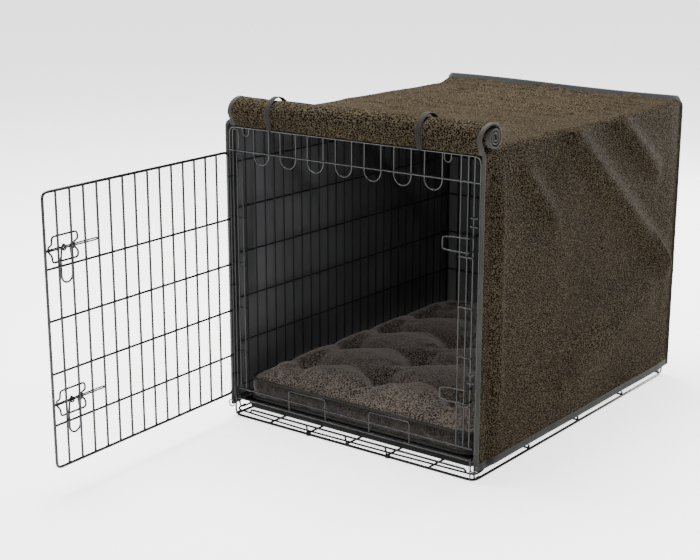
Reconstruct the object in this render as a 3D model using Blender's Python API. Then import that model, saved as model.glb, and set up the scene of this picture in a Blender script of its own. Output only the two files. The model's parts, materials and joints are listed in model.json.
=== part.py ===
"""Folding wire dog crate with its fitted cloth cover, plastic tray and tufted mattress.

World frame: metres, +Z up, +X to the right of the doorway, +Y from the doorway to the rear.
The origin is on the ground, under the crossing of wires at the centre of the floor grid.
Wire panels are welded lattices whose wires cross in one plane.
"""
import bisect
import math

import bmesh
import bpy
import numpy as np
from mathutils import Matrix, Vector

# Driving dimensions of the crate
WIDTH = 0.457
DEPTH = 0.610
WIRE_TOP = 0.473
FRAME_WIRE = 0.0035
GRID_WIRE = 0.0025
PANEL_THICK = 0.0030
GAP = 0.0003
FRONT_Y = -DEPTH / 2 + 0.0025
REAR_Y = DEPTH / 2 - 0.0025
SIDE_X = 0.2238
PANEL_BOTTOM = 0.0095
FLOOR_HOOK_X = 0.2215

# Rails (level wires) of the side and rear panels
FIRST_RAIL = 0.048
RAIL_STEP = 0.0725
RAIL_COUNT = 6
SIDE_GAPS = 26
REAR_GAPS = 19
TOP_BAYS = 4

# Front panel
HEADER_LOW = 0.431
LOOP_BOTTOM = 0.413
LOOP_LEG_SPACING = 0.0295
LOOP_CENTRES = [0.149 - 0.052 * i for i in range(7)]
THRESHOLD_LOW = 0.031
THRESHOLD_HIGH = 0.0485
THRESHOLD_LOOP_TOP = 0.064
POST_RAILS = (0.110, 0.182, 0.254, 0.326)
HINGE_X = -0.220
LEFT_POST_WIRES = (-0.2265, HINGE_X, -0.2125, -0.2014)
RIGHT_POST_WIRES = (0.1945, 0.2065, 0.2165, 0.2262)

# Door, drawn shut in its own frame: hinge line at the origin, door along +X, outside at -Y
DOOR_WIDTH = 0.3935
DOOR_BOTTOM = 0.0406
DOOR_TOP = 0.4279
DOOR_OFFSET = 0.0048
DOOR_STILE = 0.0075
DOOR_GAPS = 15
DOOR_RAILS = (0.1036, 0.1770, 0.2514, 0.3236)
DOOR_REST_ANGLE = math.radians(-87.0)
HINGE_EYE_HEIGHTS = {"top": 0.390, "middle": 0.218, "bottom": 0.072}

# Slide bolt latches, two alike
LATCH_HEIGHTS = {"upper": 0.346, "lower": 0.129}
LATCH_WIRE = 0.0024
BOLT_DIAMETER = 0.0045
BOLT_Y = -0.0118
BOLT_TIP_INSET = 0.010
BOLT_LENGTH = 0.098
KEEPER_INSET = 0.018
KEEPER_WIDTH = 0.048
KEEPER_UP = 0.019
KEEPER_DOWN = 0.017
KEEPER_Y = -0.0078
KEEPER_BRIDGE_Y = -0.0157
HANDLE_INSET = 0.041
HANDLE_WIDTH = 0.020
HANDLE_DROP = 0.051
HANDLE_EYE = 0.00385
STRIKE_Y = -0.0163
STRIKE_HALF = 0.010
STRIKE_X = (0.1768, 0.2190)

# Tray, mattress and cover
TRAY_SIZE = (0.436, 0.586)
TRAY_Z = (0.0120, 0.0285)
TRAY_WALL = 0.0025
MATTRESS_SIZE = (0.430, 0.574)
MATTRESS_Z = (0.0290, 0.0900)
CLOTH = 0.0030
COVER_X = 0.2290
COVER_FRONT = -0.3033
COVER_REAR = 0.3065
COVER_HEM = 0.0186
COVER_UNDER = WIRE_TOP + 0.0005
ROLL_RADIUS = 0.0185
ROLL_Y = -0.2966
ROLL_X = (-0.2150, 0.2430)
STRAP_CENTRES = {"left": -0.1405, "right": 0.1305}
STRAP_WIDTH = 0.016
STRAP_THICK = 0.0018
PIPING_RADIUS = 0.0020


def clear_scene():
    for old in list(bpy.data.objects):
        bpy.data.objects.remove(old, do_unlink=True)


def finish_material(name, colour, roughness, metallic=0.0):
    made = bpy.data.materials.new(name)
    made.use_nodes = True
    shader = made.node_tree.nodes["Principled BSDF"]
    shader.inputs["Base Color"].default_value = (*colour, 1.0)
    shader.inputs["Roughness"].default_value = roughness
    shader.inputs["Metallic"].default_value = metallic
    return made


def add_object(name, data, material, parent=None):
    made = bpy.data.objects.new(name, data)
    bpy.context.collection.objects.link(made)
    data.materials.append(material)
    made.parent = parent
    return made


def add_empty(name, location, angle=0.0, parent=None):
    made = bpy.data.objects.new(name, None)
    bpy.context.collection.objects.link(made)
    made.location = location
    made.rotation_euler = (0.0, 0.0, angle)
    made.parent = parent
    return made


def mesh_from(name, build):
    """A mesh filled by build(bm), with its faces pointing outwards."""
    bm = bmesh.new()
    build(bm)
    bmesh.ops.recalc_face_normals(bm, faces=bm.faces)
    mesh = bpy.data.meshes.new(name)
    bm.to_mesh(mesh)
    bm.free()
    return mesh


def welded_bars(name, bars, material, parent=None):
    """Straight square-edged bars (low corner, high corner) welded into one closed body."""
    cuts = [sorted({round(end[axis], 6) for bar in bars for end in bar}) for axis in range(3)]
    filled = np.zeros([len(cut) + 1 for cut in cuts], dtype=bool)
    for low, high in bars:
        span = []
        for axis in range(3):
            first = bisect.bisect_left(cuts[axis], round(low[axis], 6))
            last = bisect.bisect_left(cuts[axis], round(high[axis], 6))
            span.append(slice(first + 1, last + 1))
        filled[tuple(span)] = True

    def build(bm):
        corners = {}

        def corner(index):
            if index not in corners:
                corners[index] = bm.verts.new([cuts[axis][index[axis]] for axis in range(3)])
            return corners[index]

        for axis in range(3):
            across = [other for other in range(3) if other != axis]
            change = np.diff(filled.astype(int), axis=axis)
            for cell in np.argwhere(change != 0):
                quad = []
                for step_a, step_b in ((0, 0), (1, 0), (1, 1), (0, 1)):
                    index = [int(value) for value in cell]
                    index[across[0]] += step_a - 1
                    index[across[1]] += step_b - 1
                    quad.append(corner(tuple(index)))
                bm.faces.new(quad)

    return add_object(name, mesh_from(name, build), material, parent)


def bar_x(start, end, y, z, width=GRID_WIRE, thick=PANEL_THICK):
    """A bar along X in an upright panel that faces Y."""
    return ((start, y - thick / 2, z - width / 2), (end, y + thick / 2, z + width / 2))


def bar_z(x, y, start, end, width=GRID_WIRE, thick=PANEL_THICK):
    """A bar along Z in an upright panel that faces Y."""
    return ((x - width / 2, y - thick / 2, start), (x + width / 2, y + thick / 2, end))


def spaced(start, end, gaps):
    return [start + (end - start) * i / gaps for i in range(gaps + 1)]


def rounded_path(corners, radius, closed=False, steps=3):
    """The corner points with each bend replaced by a short curve of the given radius."""
    points = []
    count = len(corners)
    for index, corner in enumerate(corners):
        here = Vector(corner)
        if not closed and index in (0, count - 1):
            points.append(here)
            continue
        before = Vector(corners[index - 1]) - here
        after = Vector(corners[(index + 1) % count]) - here
        reach = min(radius, before.length * 0.45, after.length * 0.45)
        start = here + before.normalized() * reach
        end = here + after.normalized() * reach
        for step in range(steps):
            t = step / (steps - 1)
            points.append(start * (1 - t) ** 2 + here * 2 * t * (1 - t) + end * t ** 2)
    return points


def bent_wire(name, points, diameter, material, closed=False, parent=None):
    curve = bpy.data.curves.new(name, "CURVE")
    curve.dimensions = "3D"
    curve.bevel_depth = diameter / 2
    curve.bevel_resolution = 1
    curve.use_fill_caps = True
    spline = curve.splines.new("POLY")
    spline.points.add(len(points) - 1)
    for knot, point in zip(spline.points, points):
        knot.co = (*point, 1.0)
    spline.use_cyclic_u = closed
    return add_object(name, curve, material, parent)


def box_mesh(name, low, high):
    centre = (Vector(low) + Vector(high)) / 2
    size = Vector(high) - Vector(low)
    place = Matrix.Translation(centre) @ Matrix.Diagonal((*size, 1.0))
    return mesh_from(name, lambda bm: bmesh.ops.create_cube(bm, size=1.0, matrix=place))


def rounded_outline(half_x, half_y, radius, z, steps=4):
    """Points of a rectangle with round corners, anticlockwise from above."""
    points = []
    for quarter in range(4):
        side_x = (1, -1, -1, 1)[quarter]
        side_y = (1, 1, -1, -1)[quarter]
        for step in range(steps + 1):
            angle = math.pi / 2 * (quarter + step / steps)
            x = side_x * (half_x - radius) + radius * math.cos(angle)
            y = side_y * (half_y - radius) + radius * math.sin(angle)
            points.append((x, y, z))
    return points


def stacked_rings(name, rings):
    """A closed body through a run of outlines, capped at the first and the last."""

    def build(bm):
        loops = [[bm.verts.new(point) for point in ring] for ring in rings]
        count = len(loops[0])
        for lower, upper in zip(loops, loops[1:]):
            for i in range(count):
                j = (i + 1) % count
                bm.faces.new((lower[i], lower[j], upper[j], upper[i]))
        bm.faces.new(loops[0])
        bm.faces.new(loops[-1])

    return mesh_from(name, build)


def round_shading(made, degrees=40.0):
    made.data.shade_smooth()
    made.data.set_sharp_from_angle(angle=math.radians(degrees))


def make_floor_grid(steel):
    """The bottom lattice: a border wire, cross wires and runners, all lying on the ground."""
    half_x = WIDTH / 2 - FRAME_WIRE / 2
    half_y = DEPTH / 2 - FRAME_WIRE / 2
    z = FRAME_WIRE / 2
    bars = []
    for y in spaced(-half_y, half_y, 4):
        bars.append(bar_x(-WIDTH / 2, WIDTH / 2, y, z, FRAME_WIRE, FRAME_WIRE))
    for x in spaced(-half_x, half_x, 6):
        low = (x - FRAME_WIRE / 2, -DEPTH / 2, 0.0)
        high = (x + FRAME_WIRE / 2, DEPTH / 2, FRAME_WIRE)
        bars.append((low, high))
    welded_bars("floor_grid", bars, steel)


def make_tray_rests(steel):
    """Two raised wires across the floor that the tray slides on, near the front and the rear."""
    half = 0.205
    drop = 0.0105
    for name, y in (("front", FRONT_Y + 0.012), ("rear", REAR_Y - 0.030)):
        foot = FRAME_WIRE + GRID_WIRE / 2 + GAP
        corners = [(-half, y, foot), (-half + 0.006, y, drop), (half - 0.006, y, drop)]
        corners.append((half, y, foot))
        path = rounded_path(corners, 0.004)
        bent_wire(f"tray_rest_{name}", path, GRID_WIRE, steel)


def make_floor_hooks(steel):
    """Turned-up wire ends that hold the floor grid to the bottom wire of the front panel."""
    reach = FRAME_WIRE / 2 + GRID_WIRE / 2 + 0.0010
    for name, side in (("left", -1), ("right", 1)):
        x = side * FLOOR_HOOK_X
        path = [Vector((x, FRONT_Y - reach, FRAME_WIRE + GAP))]
        for step in range(6):
            angle = math.pi - math.radians(210.0) * step / 5
            y = FRONT_Y + reach * math.cos(angle)
            path.append(Vector((x, y, THRESHOLD_LOW + reach * math.sin(angle))))
        bent_wire(f"floor_hook_{name}", path, GRID_WIRE, steel)


def upright_lattice(name, span, gaps, place, steel):
    """A side or rear panel: border wires, rails and uprights; place() turns it to its wall."""
    low, high = span
    bottom = PANEL_BOTTOM + FRAME_WIRE / 2
    top = WIRE_TOP - PANEL_THICK - 0.0010 - FRAME_WIRE / 2
    bars = []
    for index, at in enumerate(spaced(low + FRAME_WIRE / 2, high - FRAME_WIRE / 2, gaps)):
        width = FRAME_WIRE if index in (0, gaps) else GRID_WIRE
        bars.append(bar_z(at, 0.0, bottom - FRAME_WIRE / 2, top + FRAME_WIRE / 2, width))
    for z in (bottom, top):
        bars.append(bar_x(low, high, 0.0, z, FRAME_WIRE))
    for index in range(RAIL_COUNT):
        bars.append(bar_x(low, high, 0.0, FIRST_RAIL + RAIL_STEP * index))
    welded_bars(name, [place(bar) for bar in bars], steel)


def make_wall_panels(steel):
    def on_side(x):
        def place(bar):
            (a, b, c), (d, e, f) = bar
            return ((x + b, a, c), (x + e, d, f))
        return place

    def on_rear(bar):
        (a, b, c), (d, e, f) = bar
        return ((a, REAR_Y + b, c), (d, REAR_Y + e, f))

    side_span = (FRONT_Y + 0.0062, REAR_Y - 0.0025)
    upright_lattice("side_panel_left", side_span, SIDE_GAPS, on_side(-SIDE_X), steel)
    upright_lattice("side_panel_right", side_span, SIDE_GAPS, on_side(SIDE_X), steel)
    upright_lattice("rear_panel", (-0.2270, 0.2270), REAR_GAPS, on_rear, steel)


def make_top_panel(steel):
    z = WIRE_TOP - PANEL_THICK / 2
    half_x = 0.2265
    front = FRONT_Y + 0.0030
    rear = REAR_Y + 0.0012
    bars = []
    for index, y in enumerate(spaced(front + FRAME_WIRE / 2, rear - FRAME_WIRE / 2, SIDE_GAPS)):
        width = FRAME_WIRE if index in (0, SIDE_GAPS) else GRID_WIRE
        low = (-half_x, y - width / 2, z - PANEL_THICK / 2)
        bars.append((low, (half_x, y + width / 2, z + PANEL_THICK / 2)))
    edge = half_x - FRAME_WIRE / 2
    for index, x in enumerate(spaced(-edge, edge, TOP_BAYS)):
        width = FRAME_WIRE if index in (0, TOP_BAYS) else GRID_WIRE
        low = (x - width / 2, front, z - PANEL_THICK / 2)
        bars.append((low, (x + width / 2, rear, z + PANEL_THICK / 2)))
    welded_bars("top_panel", bars, steel)


def make_front_header(steel):
    """The two level wires over the doorway, with seven hanging wire loops."""
    top = WIRE_TOP - FRAME_WIRE / 2
    left = LEFT_POST_WIRES[0] - FRAME_WIRE / 2
    right = RIGHT_POST_WIRES[-1] + FRAME_WIRE / 2
    bars = [bar_x(left, right, FRONT_Y, top, FRAME_WIRE)]
    bars.append(bar_x(-0.2290, 0.2280, FRONT_Y, HEADER_LOW, FRAME_WIRE))
    for centre in LOOP_CENTRES:
        for leg in (-1, 1):
            x = centre + leg * LOOP_LEG_SPACING / 2
            bars.append(bar_z(x, FRONT_Y, LOOP_BOTTOM, top))
        half = LOOP_LEG_SPACING / 2 + GRID_WIRE / 2
        bars.append(bar_x(centre - half, centre + half, FRONT_Y, LOOP_BOTTOM))
    for x in (left + FRAME_WIRE / 2, right - FRAME_WIRE / 2):
        bars.append(bar_z(x, FRONT_Y, HEADER_LOW, top, FRAME_WIRE))
    welded_bars("front_header", bars, steel)


def make_front_posts(steel):
    """The narrow strips of lattice on both sides of the doorway."""
    foot = THRESHOLD_HIGH + FRAME_WIRE / 2 + GAP
    head = HEADER_LOW - FRAME_WIRE / 2 - GAP
    for name, wires in (("left", LEFT_POST_WIRES), ("right", RIGHT_POST_WIRES)):
        bars = []
        for x in wires:
            slim = x in wires[1:-1] and x != HINGE_X
            bars.append(bar_z(x, FRONT_Y, foot, head, GRID_WIRE if slim else FRAME_WIRE))
        for z in (foot + GRID_WIRE / 2, *POST_RAILS, head - GRID_WIRE / 2):
            bars.append(bar_x(min(wires), max(wires), FRONT_Y, z))
        welded_bars(f"front_post_{name}", bars, steel)


def make_threshold(steel):
    """The two level wires under the doorway, with two low wire loops standing on them."""
    left = LEFT_POST_WIRES[0] - FRAME_WIRE / 2
    right = RIGHT_POST_WIRES[-1] + FRAME_WIRE / 2
    bars = [bar_x(left, right, FRONT_Y, z, FRAME_WIRE) for z in (THRESHOLD_LOW, THRESHOLD_HIGH)]
    for x in (left + FRAME_WIRE / 2, right - FRAME_WIRE / 2):
        bars.append(bar_z(x, FRONT_Y, THRESHOLD_LOW, THRESHOLD_HIGH, FRAME_WIRE))
    for start, end in ((-0.1140, -0.0425), (0.0406, 0.1136)):
        for x in (start, end):
            bars.append(bar_z(x, FRONT_Y, THRESHOLD_LOW, THRESHOLD_LOOP_TOP))
        reach = GRID_WIRE / 2
        bars.append(bar_x(start - reach, end + reach, FRONT_Y, THRESHOLD_LOOP_TOP))
    welded_bars("front_threshold", bars, steel)


def make_strikes(steel):
    """Wire staples on the right post; a latch bolt slides in behind each one."""
    bow, root = STRIKE_X
    foot_y = -PANEL_THICK / 2 - GAP
    for name, z in LATCH_HEIGHTS.items():
        low = z - STRIKE_HALF
        high = z + STRIKE_HALF
        corners = [(root, foot_y, high), (root, STRIKE_Y, high), (bow, STRIKE_Y, high)]
        corners += [(bow, STRIKE_Y, low), (root, STRIKE_Y, low), (root, foot_y, low)]
        path = [Vector((0.0, FRONT_Y, 0.0)) + point for point in rounded_path(corners, 0.004)]
        bent_wire(f"latch_strike_{name}", path, GRID_WIRE, steel)


def make_door(steel, hinge):
    """The door lattice: two stiles, a top and a bottom wire, uprights and four rails."""
    bars = []
    last = DOOR_WIDTH - FRAME_WIRE / 2
    for index, x in enumerate(spaced(DOOR_STILE, last, DOOR_GAPS)):
        width = FRAME_WIRE if index in (0, DOOR_GAPS) else GRID_WIRE
        ends = (DOOR_BOTTOM - FRAME_WIRE / 2, DOOR_TOP + FRAME_WIRE / 2)
        bars.append(bar_z(x, -DOOR_OFFSET, *ends, width))
    start = DOOR_STILE - FRAME_WIRE / 2
    for z in (DOOR_BOTTOM, DOOR_TOP):
        bars.append(bar_x(start, DOOR_WIDTH, -DOOR_OFFSET, z, FRAME_WIRE))
    for z in DOOR_RAILS:
        bars.append(bar_x(start, DOOR_WIDTH, -DOOR_OFFSET, z))
    welded_bars("door_panel", bars, steel, hinge)


def make_hinge_eyes(steel, hinge):
    """Wire eyes that wrap the hinge wire of the left post and reach behind the door's stile."""
    wire = 0.0012
    radius = 0.0035
    tail_y = -DOOR_OFFSET + PANEL_THICK / 2 + GAP + wire / 2
    start = math.asin(tail_y / radius)
    steps = 12
    for name, z in HINGE_EYE_HEIGHTS.items():
        path = [Vector((DOOR_STILE + 0.004, tail_y, z))]
        for step in range(steps + 1):
            angle = start - math.radians(300.0) * step / steps
            path.append(Vector((radius * math.cos(angle), radius * math.sin(angle), z)))
        bent_wire(f"hinge_eye_{name}", path, wire, steel, parent=hinge)


def make_keeper(name, z, steel, hinge):
    """The wire guide on the door; its two sides bridge over the bolt."""
    outer = DOOR_WIDTH - KEEPER_INSET
    inner = outer - KEEPER_WIDTH
    rise = 0.0052
    corners = []
    for x, order in ((outer, (1, -1)), (inner, (-1, 1))):
        levels = [(order[0] * (KEEPER_UP if order[0] > 0 else KEEPER_DOWN), KEEPER_Y)]
        levels += [(order[0] * rise * 1.5, KEEPER_Y), (order[0] * rise * 0.6, KEEPER_BRIDGE_Y)]
        levels += [(order[1] * rise * 0.6, KEEPER_BRIDGE_Y), (order[1] * rise * 1.5, KEEPER_Y)]
        levels.append((order[1] * (KEEPER_UP if order[1] > 0 else KEEPER_DOWN), KEEPER_Y))
        corners += [(x, y, z + level) for level, y in levels]
    path = rounded_path(corners, 0.005, closed=True, steps=2)
    bent_wire(f"latch_keeper_{name}", path, LATCH_WIRE, steel, closed=True, parent=hinge)


def make_bolt(name, steel, slide):
    """The sliding rod, drawn along X with its tip at the slide's own origin."""
    path = [Vector((0.0, 0.0, 0.0)), Vector((-BOLT_LENGTH, 0.0, 0.0))]
    bent_wire(f"latch_bolt_{name}", path, BOLT_DIAMETER, steel, parent=slide)


def make_handle(name, steel, slide):
    """The finger loop: two eyes round the bolt and a hanging bow between them."""
    near = -HANDLE_INSET + BOLT_TIP_INSET
    far = near - HANDLE_WIDTH
    eye = []
    for step in range(7):
        angle = math.radians(140.0) - math.radians(320.0) * step / 6 + math.pi
        eye.append((HANDLE_EYE * math.cos(angle), HANDLE_EYE * math.sin(angle)))
    path = [Vector((near, y, z)) for y, z in eye]
    bow = HANDLE_WIDTH / 2
    for step in range(7):
        angle = math.pi * step / 6
        x = near - bow + bow * math.cos(angle)
        path.append(Vector((x, -HANDLE_EYE, bow - HANDLE_DROP - bow * math.sin(angle))))
    path += [Vector((far, y, z)) for y, z in reversed(eye)]
    bent_wire(f"latch_handle_{name}", path, LATCH_WIRE, steel, parent=slide)


def make_latches(steel, hinge):
    for name, z in LATCH_HEIGHTS.items():
        make_keeper(name, z, steel, hinge)
        tip = (DOOR_WIDTH - BOLT_TIP_INSET, BOLT_Y, z)
        slide = add_empty(f"latch_slide_{name}", tip, parent=hinge)
        make_bolt(name, steel, slide)
        make_handle(name, steel, slide)


def make_tray(plastic):
    half_x = TRAY_SIZE[0] / 2
    half_y = TRAY_SIZE[1] / 2
    radius = 0.022
    low, high = TRAY_Z
    draft = 0.003
    inset = TRAY_WALL
    rings = [rounded_outline(half_x - draft, half_y - draft, radius, low)]
    rings.append(rounded_outline(half_x, half_y, radius, high))
    rings.append(rounded_outline(half_x - inset, half_y - inset, radius - inset, high))
    base = (half_x - draft - inset, half_y - draft - inset)
    rings.append(rounded_outline(*base, radius - inset, low + TRAY_WALL))
    round_shading(add_object("tray", stacked_rings("tray", rings), plastic))


def make_mattress(fabric):
    """A crowned pad: wide at its seams, drawn in above and below."""
    low, high = MATTRESS_Z
    half_x = MATTRESS_SIZE[0] / 2
    half_y = MATTRESS_SIZE[1] / 2
    rings = []
    for rise, inset, radius in ((0.0, 0.006, 0.030), (0.10, 0.0, 0.034), (0.66, 0.0, 0.034)):
        z = low + (high - low) * rise
        rings.append(rounded_outline(half_x - inset, half_y - inset, radius, z))
    for rise, inset in ((0.86, 0.016), (0.96, 0.060), (1.0, 0.120)):
        z = low + (high - low) * rise
        rings.append(rounded_outline(half_x - inset, half_y - inset, 0.034, z))
    round_shading(add_object("mattress", stacked_rings("mattress", rings), fabric))


def make_cover_panels(fabric):
    """The sewn panels of the cover, open at the front and underneath."""
    outer = COVER_X + CLOTH
    top = COVER_UNDER + CLOTH
    panels = {
        "cover_top": ((-outer, COVER_FRONT, COVER_UNDER), (outer, COVER_REAR + CLOTH, top)),
        "cover_left": ((-outer, COVER_FRONT, COVER_HEM), (-COVER_X, COVER_REAR, COVER_UNDER - GAP)),
        "cover_right": ((COVER_X, COVER_FRONT, COVER_HEM), (outer, COVER_REAR, COVER_UNDER - GAP)),
        "cover_rear": (
            (-outer, COVER_REAR + GAP, COVER_HEM),
            (outer, COVER_REAR + CLOTH, COVER_UNDER - GAP),
        ),
    }
    for name, (low, high) in panels.items():
        add_object(name, box_mesh(name, low, high), fabric)


def make_front_roll(fabric):
    """The front flap, rolled up along the top front edge."""
    z = COVER_UNDER + CLOTH + GAP + ROLL_RADIUS
    sides = 20
    rings = []
    for x in ROLL_X:
        ring = []
        for step in range(sides):
            angle = 2 * math.pi * step / sides
            ring.append((x, ROLL_Y + ROLL_RADIUS * math.cos(angle), z + ROLL_RADIUS * math.sin(angle)))
        rings.append(ring)
    round_shading(add_object("cover_front_roll", stacked_rings("cover_front_roll", rings), fabric))


def make_straps(webbing):
    """The two straps that hold the roll; their ends are sewn down at the cover's top."""
    z = COVER_UNDER + CLOTH + GAP + ROLL_RADIUS
    inner = ROLL_RADIUS + 2 * GAP
    sides = 16
    for name, centre in STRAP_CENTRES.items():
        profile = []
        for radius in (inner, inner + STRAP_THICK):
            arc = []
            for step in range(sides + 1):
                angle = math.radians(-52.0 + 284.0 * step / sides)
                arc.append((ROLL_Y + radius * math.cos(angle), z + radius * math.sin(angle)))
            profile.append(arc)
        outline = profile[0] + profile[1][::-1]
        ends = (centre - STRAP_WIDTH / 2, centre + STRAP_WIDTH / 2)
        rings = [[(x, y, level) for y, level in outline] for x in ends]
        add_object(f"roll_strap_{name}", stacked_rings(f"roll_strap_{name}", rings), webbing)


def make_piping(webbing):
    """The corded edge down both sides of the cover's open front."""
    y = COVER_FRONT - PIPING_RADIUS - GAP
    x = COVER_X + CLOTH - PIPING_RADIUS * 0.1
    for name, side in (("left", -1), ("right", 1)):
        path = [Vector((side * x, y, COVER_HEM)), Vector((side * x, y, COVER_UNDER - 0.0005))]
        bent_wire(f"cover_piping_{name}", path, 2 * PIPING_RADIUS, webbing)


def main():
    clear_scene()
    steel = finish_material("black_coated_steel", (0.020, 0.020, 0.022), 0.40, 0.30)
    plastic = finish_material("tray_plastic", (0.022, 0.022, 0.025), 0.45)
    fabric = finish_material("cover_fabric", (0.060, 0.043, 0.024), 0.90)
    bedding = finish_material("mattress_fabric", (0.050, 0.038, 0.032), 0.95)
    webbing = finish_material("charcoal_binding", (0.035, 0.035, 0.036), 0.80)
    make_floor_grid(steel)
    make_tray_rests(steel)
    make_floor_hooks(steel)
    make_wall_panels(steel)
    make_top_panel(steel)
    make_front_header(steel)
    make_front_posts(steel)
    make_threshold(steel)
    make_strikes(steel)
    hinge = add_empty("door_hinge", (HINGE_X, FRONT_Y, 0.0), DOOR_REST_ANGLE)
    make_door(steel, hinge)
    make_hinge_eyes(steel, hinge)
    make_latches(steel, hinge)
    make_tray(plastic)
    make_mattress(bedding)
    make_cover_panels(fabric)
    make_front_roll(fabric)
    make_straps(webbing)
    make_piping(webbing)


main()
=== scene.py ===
"""Looks of the wire dog crate: round wires, cloth cover, rolled flap, mattress, tray and studio.

Everything is in metres in the crate's own frame: +Z up, +Y from the doorway to the rear,
+X to the right of the doorway, the origin on the ground under the middle of the floor grid.
"""
import json
import math

import bmesh
import bpy
from mathutils import Matrix, Vector, noise


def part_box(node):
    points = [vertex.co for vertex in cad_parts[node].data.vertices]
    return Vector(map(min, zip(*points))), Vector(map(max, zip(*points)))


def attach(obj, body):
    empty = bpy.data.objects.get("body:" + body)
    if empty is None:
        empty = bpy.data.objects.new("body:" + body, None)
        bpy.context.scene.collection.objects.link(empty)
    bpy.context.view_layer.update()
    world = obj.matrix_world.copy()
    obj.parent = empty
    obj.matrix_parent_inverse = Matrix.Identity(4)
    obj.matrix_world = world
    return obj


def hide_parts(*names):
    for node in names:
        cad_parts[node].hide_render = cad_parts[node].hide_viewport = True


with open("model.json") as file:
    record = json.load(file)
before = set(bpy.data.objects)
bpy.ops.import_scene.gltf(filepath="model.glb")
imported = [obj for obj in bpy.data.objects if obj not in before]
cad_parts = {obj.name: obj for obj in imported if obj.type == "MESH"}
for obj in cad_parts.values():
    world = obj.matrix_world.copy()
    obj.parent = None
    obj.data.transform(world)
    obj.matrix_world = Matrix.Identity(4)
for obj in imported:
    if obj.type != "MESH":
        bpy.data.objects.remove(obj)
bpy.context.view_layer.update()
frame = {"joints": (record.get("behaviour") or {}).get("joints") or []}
JOINTS = {joint["name"]: joint for joint in frame["joints"]}

# Wires
FRAME_WIRE = 0.0031
GRID_WIRE = 0.0022
RAIL_WIRE = 0.0028
DOOR_BORDER = 0.0042
DOOR_WIRE = 0.0034
BASE_BORDER = 0.0042
BASE_WIRE = 0.0033
LATCH_WIRE = 0.0030
LOOP_WIRE = 0.0019
BOLT_WIRE = 0.0022
EYE_WIRE = 0.0016
WIRE_SIDES = 3

# Spacing and counts of the lattices
SIDE_GAPS = 26
REAR_GAPS = 19
DOOR_GAPS = 15
TOP_GAPS = 4
FLOOR_COLUMNS, FLOOR_ROWS = 6, 4
RAIL_HEIGHTS = [0.048 + 0.0725 * i for i in range(6)]
DOOR_RAILS = (0.1036, 0.1770, 0.2514, 0.3236)
POST_RAILS = (0.110, 0.182, 0.254, 0.326)
HEADER_LOW = 0.431
LOOP_CENTRES = [0.149 - 0.052 * i for i in range(7)]
LOOP_SPACING = 0.0295
LOOP_FOOT = 0.4130
SMALL_LOOPS = ((-0.1935, 0.013, 0.4545), (0.1725, 0.011, 0.4545))
LOW_LOOPS = ((-0.1140, -0.0425), (0.0406, 0.1136))
LOW_LOOP_TOP = 0.0645
RIGHT_STRIP = (0.1945, 0.2065)
RIGHT_WIRE = 0.2165
LEFT_WIRE = -0.2200
LEFT_STRIP = (-0.2125, -0.2014)
CLIP_HEIGHTS = (0.382, 0.370, 0.158, 0.146)
LATCH_HEIGHTS = {"upper": 0.346, "lower": 0.129}
STRIKE_HALF = 0.010
SIDES = {"left": -1, "right": 1}

# Charcoal tape, in its darker and lighter patches
TAPE_DARK = (0.0200, 0.0195, 0.0165)
TAPE_LIGHT = (0.0330, 0.0320, 0.0275)

# Axes
X = (1, 0, 0)
Y = (0, 1, 0)
Z = (0, 0, 1)

# Camera
LENS = 73.0
CAMERA_AT = (1.226, -1.898, 0.794)
CAMERA_YAW = math.radians(37.43)
CAMERA_PITCH = math.radians(14.85)

# Light: each lamp is (place, aim, size, watts)
SKY = 0.42
FLOOR_GLOW = 2.1
FLOOR_REACH = 400.0
FLOOR_DROP = 0.0006
LAMPS = {
    "key": ((-0.7, 0.1, 2.9), (0.0, -0.1, 0.2), (2.2, 1.6), 470.0),
    "front_fill": ((0.9, -2.8, 2.05), (0.0, -0.1, 0.2), (2.4, 1.8), 80.0),
    "rake": ((0.72, 2.4, 0.62), (0.24, 0.0, 0.28), (0.6, 0.6), 165.0),
}


# ---- helpers

def link(name, data, material=None):
    made = bpy.data.objects.new(name, data)
    bpy.context.scene.collection.objects.link(made)
    if material is not None:
        data.materials.append(material)
    return made


def place(piece, body, slot, *nodes):
    """Puts a piece on its body, in place of the CAD nodes named."""
    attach(piece, body)
    if nodes:
        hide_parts(*nodes)
    return piece


def spaced(start, end, gaps):
    return [start + (end - start) * i / gaps for i in range(gaps + 1)]


def smoothstep(low, high, value):
    t = min(1.0, max(0.0, (value - low) / (high - low)))
    return t * t * (3.0 - 2.0 * t)


def rounded(corners, radius, closed=False, steps=5):
    """The corner points, with each bend replaced by a short curve."""
    points = []
    count = len(corners)
    for index, corner in enumerate(corners):
        here = Vector(corner)
        if not closed and index in (0, count - 1):
            points.append(here)
            continue
        before = Vector(corners[index - 1]) - here
        after = Vector(corners[(index + 1) % count]) - here
        reach = min(radius, before.length * 0.48, after.length * 0.48)
        start = here + before.normalized() * reach
        end = here + after.normalized() * reach
        for step in range(steps):
            t = step / (steps - 1)
            points.append(start * (1 - t) ** 2 + here * 2 * t * (1 - t) + end * t ** 2)
    return points


def arc(centre, radius, start, sweep, axis_a, axis_b, steps=10):
    """Points of an arc in the plane of two axes, angles in degrees."""
    points = []
    for step in range(steps + 1):
        angle = math.radians(start + sweep * step / steps)
        turn = Vector(axis_a) * math.cos(angle) + Vector(axis_b) * math.sin(angle)
        points.append(Vector(centre) + turn * radius)
    return points


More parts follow.
